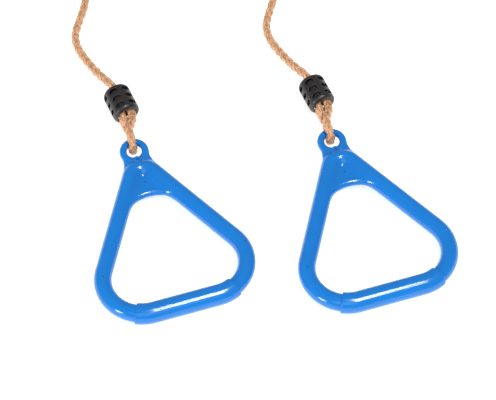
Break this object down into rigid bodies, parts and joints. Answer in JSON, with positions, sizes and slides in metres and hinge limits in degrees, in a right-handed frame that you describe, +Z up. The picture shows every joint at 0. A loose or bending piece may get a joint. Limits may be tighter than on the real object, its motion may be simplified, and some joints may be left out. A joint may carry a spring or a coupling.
{
  "type": "gymnastics rings",
  "caption": "Pair of triangular plastic trapeze rings with thicker grips, hung from braided ropes with slotted barrel covers and steel hanging rings.",
  "frame": {"origin": "on the surface that the rings lie on, under the middle of the two handles and their lower covers (the free ropes left out)", "axes": "+X along the grips, +Y from the grips to the hanging eyes, +Z up from the surface"},
  "size_m": [0.4059, 0.7957, 0.031],
  "materials": {
    "moulded_blue": "glossy moulded polypropylene",
    "black_nylon": "satin moulded nylon",
    "rope": "braided split-film polypropylene",
    "rubber_sleeve": "moulded black rubber",
    "zinc_plated_steel": "bright zinc plated"
  },
  "bodies": {
    "left_rope": {"left_rope_run": "rope", "left_rope_coil": "rope", "left_rope_tail": "rope", "left_top_cover_front": "black_nylon", "left_top_cover_rear": "black_nylon", "left_top_binding": "rubber_sleeve", "left_top_loop": "rope"},
    "left_steel_ring": {"left_hang_ring": "zinc_plated_steel"},
    "left_hanger": {"left_cover_front": "black_nylon", "left_cover_rear": "black_nylon", "left_binding": "rubber_sleeve", "left_eye_loop": "rope"},
    "left_handle": {"left_frame": "moulded_blue", "left_grip": "moulded_blue"},
    "right_rope": {"right_rope_run": "rope", "right_rope_coil": "rope", "right_rope_tail": "rope", "right_top_cover_front": "black_nylon", "right_top_cover_rear": "black_nylon", "right_top_binding": "rubber_sleeve", "right_top_loop": "rope"},
    "right_steel_ring": {"right_hang_ring": "zinc_plated_steel"},
    "right_hanger": {"right_cover_front": "black_nylon", "right_cover_rear": "black_nylon", "right_binding": "rubber_sleeve", "right_eye_loop": "rope"},
    "right_handle": {"right_frame": "moulded_blue", "right_grip": "moulded_blue"}
  },
  "joints": [
    {"name": "pair_spacing", "type": "slide", "parent": "left_rope", "child": "right_rope", "axis": [1, 0, 0], "range_m": [0, 0.3]},
    {"name": "left_twist", "type": "hinge", "parent": "left_rope", "child": "left_hanger", "pos_m": [-0.105, 0.17551, 0.0155], "axis": [0, 1, 0], "range_deg": [-180, 180]},
    {"name": "left_swing", "type": "hinge", "parent": "left_hanger", "child": "left_handle", "pos_m": [-0.107, 0.10301, 0.0155], "axis": [1, 0, 0], "range_deg": [-120, 120]},
    {"name": "left_steel_ring_turn", "type": "hinge", "parent": "left_rope", "child": "left_steel_ring", "pos_m": [-0.085, 0.57101, 0.0135], "axis": [1, 0, 0], "range_deg": [-110, 110]},
    {"name": "right_twist", "type": "hinge", "parent": "right_rope", "child": "right_hanger", "pos_m": [0.109, 0.12251, 0.0155], "axis": [0, 1, 0], "range_deg": [-180, 180]},
    {"name": "right_swing", "type": "hinge", "parent": "right_hanger", "child": "right_handle", "pos_m": [0.107, 0.05001, 0.0155], "axis": [1, 0, 0], "range_deg": [-120, 120]},
    {"name": "right_steel_ring_turn", "type": "hinge", "parent": "right_rope", "child": "right_steel_ring", "pos_m": [0.129, 0.51801, 0.0135], "axis": [1, 0, 0], "range_deg": [-110, 110]}
  ]
}
